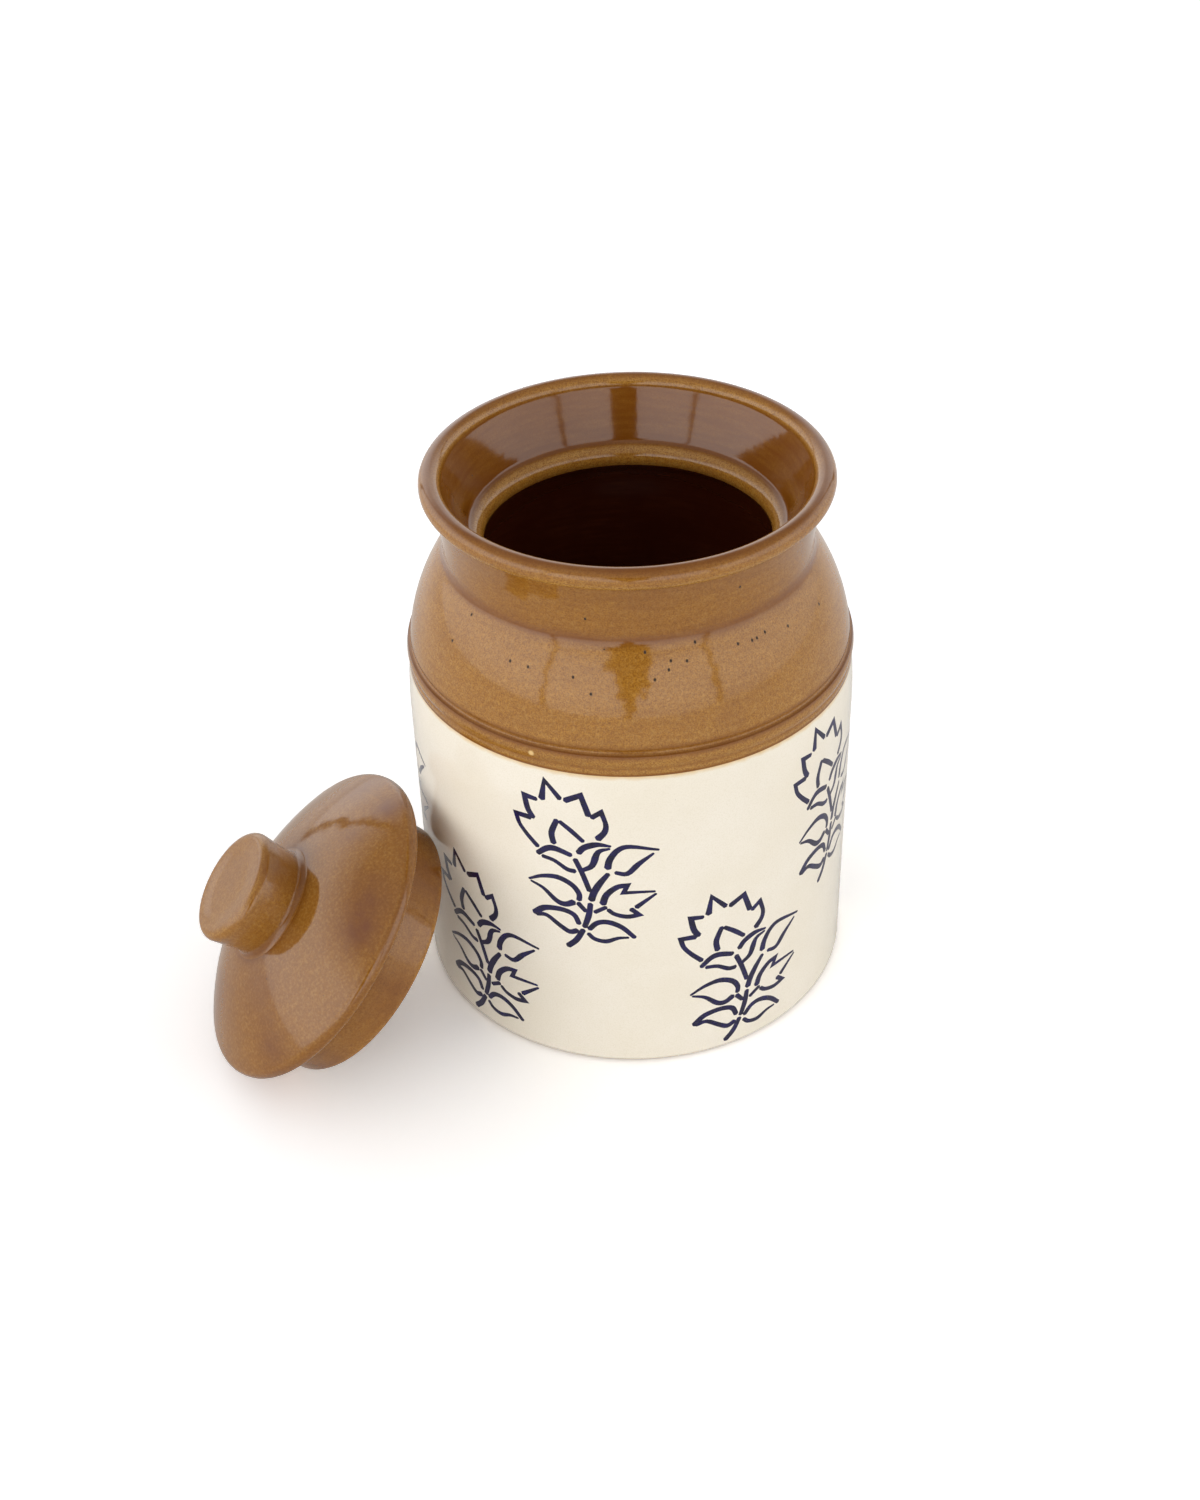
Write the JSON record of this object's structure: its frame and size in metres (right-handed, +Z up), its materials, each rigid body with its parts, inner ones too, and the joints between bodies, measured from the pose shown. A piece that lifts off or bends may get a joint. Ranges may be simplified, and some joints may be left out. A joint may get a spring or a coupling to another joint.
{
  "type": "storage jar",
  "caption": "Round glazed stoneware storage jar with a flared neck, a ledge inside the mouth and a domed lid with a knob, shown off and leaning on the jar.",
  "frame": {"origin": "middle of the jar's flat base, on the jar's axis", "axes": "+Z up along the jar's axis; -Y towards the viewer of the picture; the lid leans on the jar's -X side"},
  "size_m": [0.179, 0.146, 0.153],
  "materials": {
    "cream_glaze": "glossy cream glaze over stoneware",
    "brown_glaze": "glossy mottled amber brown glaze over stoneware",
    "lid_brown_glaze": "glossy mottled amber brown glaze over stoneware",
    "collar_brown_glaze": "glossy amber brown glaze, streaked, over stoneware",
    "knob_brown_glaze": "glossy amber brown glaze, paler on the edges, over stoneware"
  },
  "bodies": {
    "jar": {"jar_pot": "cream_glaze", "jar_shoulder_and_neck": "brown_glaze"},
    "lid": {"lid_dome": "lid_brown_glaze", "lid_collar": "collar_brown_glaze", "lid_knob": "knob_brown_glaze"}
  },
  "joints": [
    {"name": "lid_lift", "type": "slide", "parent": "jar", "child": "lid", "axis": [-0.7212, -0.1586, 0.6743], "range_m": [0, 0.12]}
  ]
}
